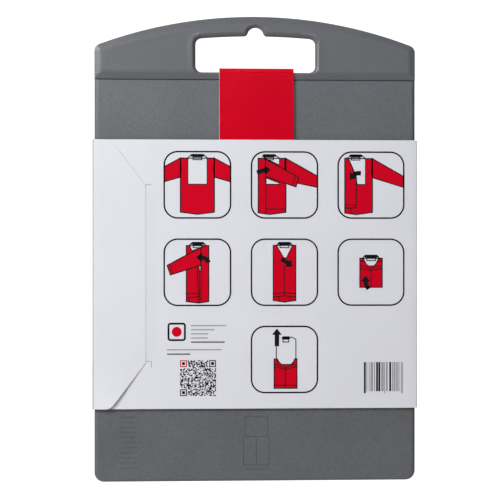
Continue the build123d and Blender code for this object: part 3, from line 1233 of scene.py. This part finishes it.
def makeCode():
    c = codeShape
    draw = random.Random(c["seed"])
    cell = c["size"] / c["cells"]
    ink = Ink("codeSquare", "inkBlack", "black")
    redInk = Ink("codeCorner", "inkRed", "black")
    target = c["target"]
    last = c["cells"] - target
    black = set()
    for j in range(c["cells"]):
        for i in range(c["cells"]):
            # each target has an empty row of cells round it
            leftEdge, topEdge = i <= target, j <= target
            corner = (leftEdge and topEdge) or (i >= last - 1 and topEdge) or (leftEdge and j >= last - 1)
            if not corner and draw.random() < c["fill"]:
                black.add((i, j))
    ends = (0, target - 1)
    ring = {(i, j) for i in range(target) for j in range(target) if i in ends or j in ends}
    middle = {(i, j) for i in range(2, target - 2) for j in range(2, target - 2)}
    for x, z in ((0, 0), (last, 0), (0, last)):
        shape = middle | ring if x or z else middle  # the first target's ring is red
        black |= {(x + i, z + j) for i, j in shape}
    ink.fillCells(black, c["left"], c["top"], cell)
    redInk.fillCells(ring, c["left"], c["top"], cell)
    ink.make()
    redInk.make()


# bars of seeded widths that carry no number
barcodeShape = {
    "left": 85.8, "right": 116.8, "top": -264.9, "bottom": -288.0, "seed": 5, "guard": 1.6, "unit": 0.36,
    "bars": (1, 1, 1, 2, 4), "gaps": (1, 2, 2, 3, 4),
}


def makeBarcode():
    b = barcodeShape
    draw = random.Random(b["seed"])
    ink = Ink("stockBars", "inkBlack", "black")
    unit = b["unit"]
    x = b["left"]
    while x < b["right"] - unit:
        wide = unit * draw.choice(b["bars"])
        middle = abs(x - (b["left"] + b["right"]) / 2) < unit * 2
        guard = middle or x < b["left"] + unit * 4 or x > b["right"] - unit * 5
        bottom = b["bottom"] - (b["guard"] if guard else 0.0)
        ink.fill(rectangle(x, bottom, min(x + wide, b["right"]), b["top"]))
        x += wide + unit * draw.choice(b["gaps"])
    ink.make()


# the slit's hooked end is a knife cut; the shade inside the cut is painted as a thin dark ink line beside the
# tongue
slitCutShade = {"reach": 3.9, "lean": 0.1, "drop": 5.2, "width": 0.28}


def makeSlitCutShade():
    h = slitCutShade
    # painted shade: dark grey ink lines where the cut's shadow falls
    ink = Ink("slitCutShade", "inkDarkGrey", "red")
    for end, way in ((slitBottom, -1), (slitTop, 1)):
        start = slitX + sleeveShape["slitHalf"]
        far = start + h["reach"]
        path = [(start, end), (far, end), (far + h["lean"], end + way * h["drop"])]
        ink.line(path if way < 0 else path[:2], h["width"])
    ink.make()


makeSteps()
makeSmallPrint()
makeMark()
makeCode()
makeBarcode()
makeSlitCutShade()
print("print laid down")


# studio
studio = {
    "floorDrop": 0.30, "floorSize": 8.0, "floorColour": (0.60, 0.60, 0.60), "floorGlow": 0.85,
    "roomLevel": 0.14, "roomBehind": 1.15, "roomTurn": 1.5,
}
lamps = {
    "keyLeft": {"place": (-1.20, -1.10, 0.80), "size": (0.50, 0.60), "power": 29.0},
    "nearCamera": {"place": (-0.50, -1.20, 0.60), "size": (0.60, 0.60), "power": 3.2},
    "topStrip": {"place": (0.0, 0.05, 1.15), "size": (1.2, 0.5), "power": 6.0},
    "sheenStrip": {
        "place": (0.0, -1.25, 0.48), "size": (2.0, 0.3), "power": 3.9, "onlyGloss": True,
        "colour": (0.72, 0.90, 1.0),
    },
}


def makeStudio():
    world = bpy.data.worlds.new("studio")
    bpy.context.scene.world = world
    world.use_nodes = True
    nodes = Nodes(world.node_tree)
    background = nodes.find("BACKGROUND")
    background.inputs["Color"].default_value = (1.0, 1.0, 1.0, 1.0)
    # plain white to the camera, and for light a dim room with a bright far wall behind the object
    seen = nodes.add("ShaderNodeLightPath").outputs["Is Camera Ray"]
    way = nodes.add("ShaderNodeSeparateXYZ")
    nodes.link(nodes.place("Generated"), way.inputs[0])
    behind = nodes.math("POWER", nodes.math("MAXIMUM", way.outputs["Y"], 0.0), studio["roomTurn"])
    room = nodes.math("ADD", nodes.math("MULTIPLY", behind, studio["roomBehind"]), studio["roomLevel"])
    nodes.link(nodes.math("MAXIMUM", room, seen), background.inputs["Strength"])
    half = studio["floorSize"] / 2
    z = cadLow.z - studio["floorDrop"]
    mesh = bpy.data.meshes.new("paleFloor")
    mesh.from_pydata([(x, y, z) for x, y in rectangle(-half, -half, half, half)], [], [(0, 1, 2, 3)])
    material, floorNodes, shader = newMaterial("paleFloor")
    shader.inputs["Base Color"].default_value = (*studio["floorColour"], 1.0)
    shader.inputs["Roughness"].default_value = 0.9
    shader.inputs["Emission Color"].default_value = (1.0, 1.0, 1.0, 1.0)
    seenDirectly = floorNodes.add("ShaderNodeLightPath").outputs["Is Camera Ray"]
    glow = floorNodes.math("MULTIPLY", seenDirectly, studio["floorGlow"])
    floorNodes.link(glow, shader.inputs["Emission Strength"])
    mesh.materials.append(material)
    floor = addToScene("paleFloor", mesh)


def makeLamp(name, look):
    data = bpy.data.lights.new(name, "AREA")
    data.shape = "RECTANGLE"
    data.size, data.size_y = look["size"]
    data.energy = look["power"]
    data.color = look.get("colour", (1.0, 1.0, 1.0))
    lamp = addToScene(name, data)
    lamp.visible_diffuse = not look.get("onlyGloss", False)
    middle = (cadLow + cadHigh) / 2
    lamp.location = middle + Vector(look["place"])
    lamp.rotation_euler = (middle - lamp.location).to_track_quat("-Z", "Y").to_euler()


makeStudio()
for lampName, lampLook in lamps.items():
    makeLamp(lampName, lampLook)
bpy.context.scene.view_settings.view_transform = "Standard"
print("studio lit")
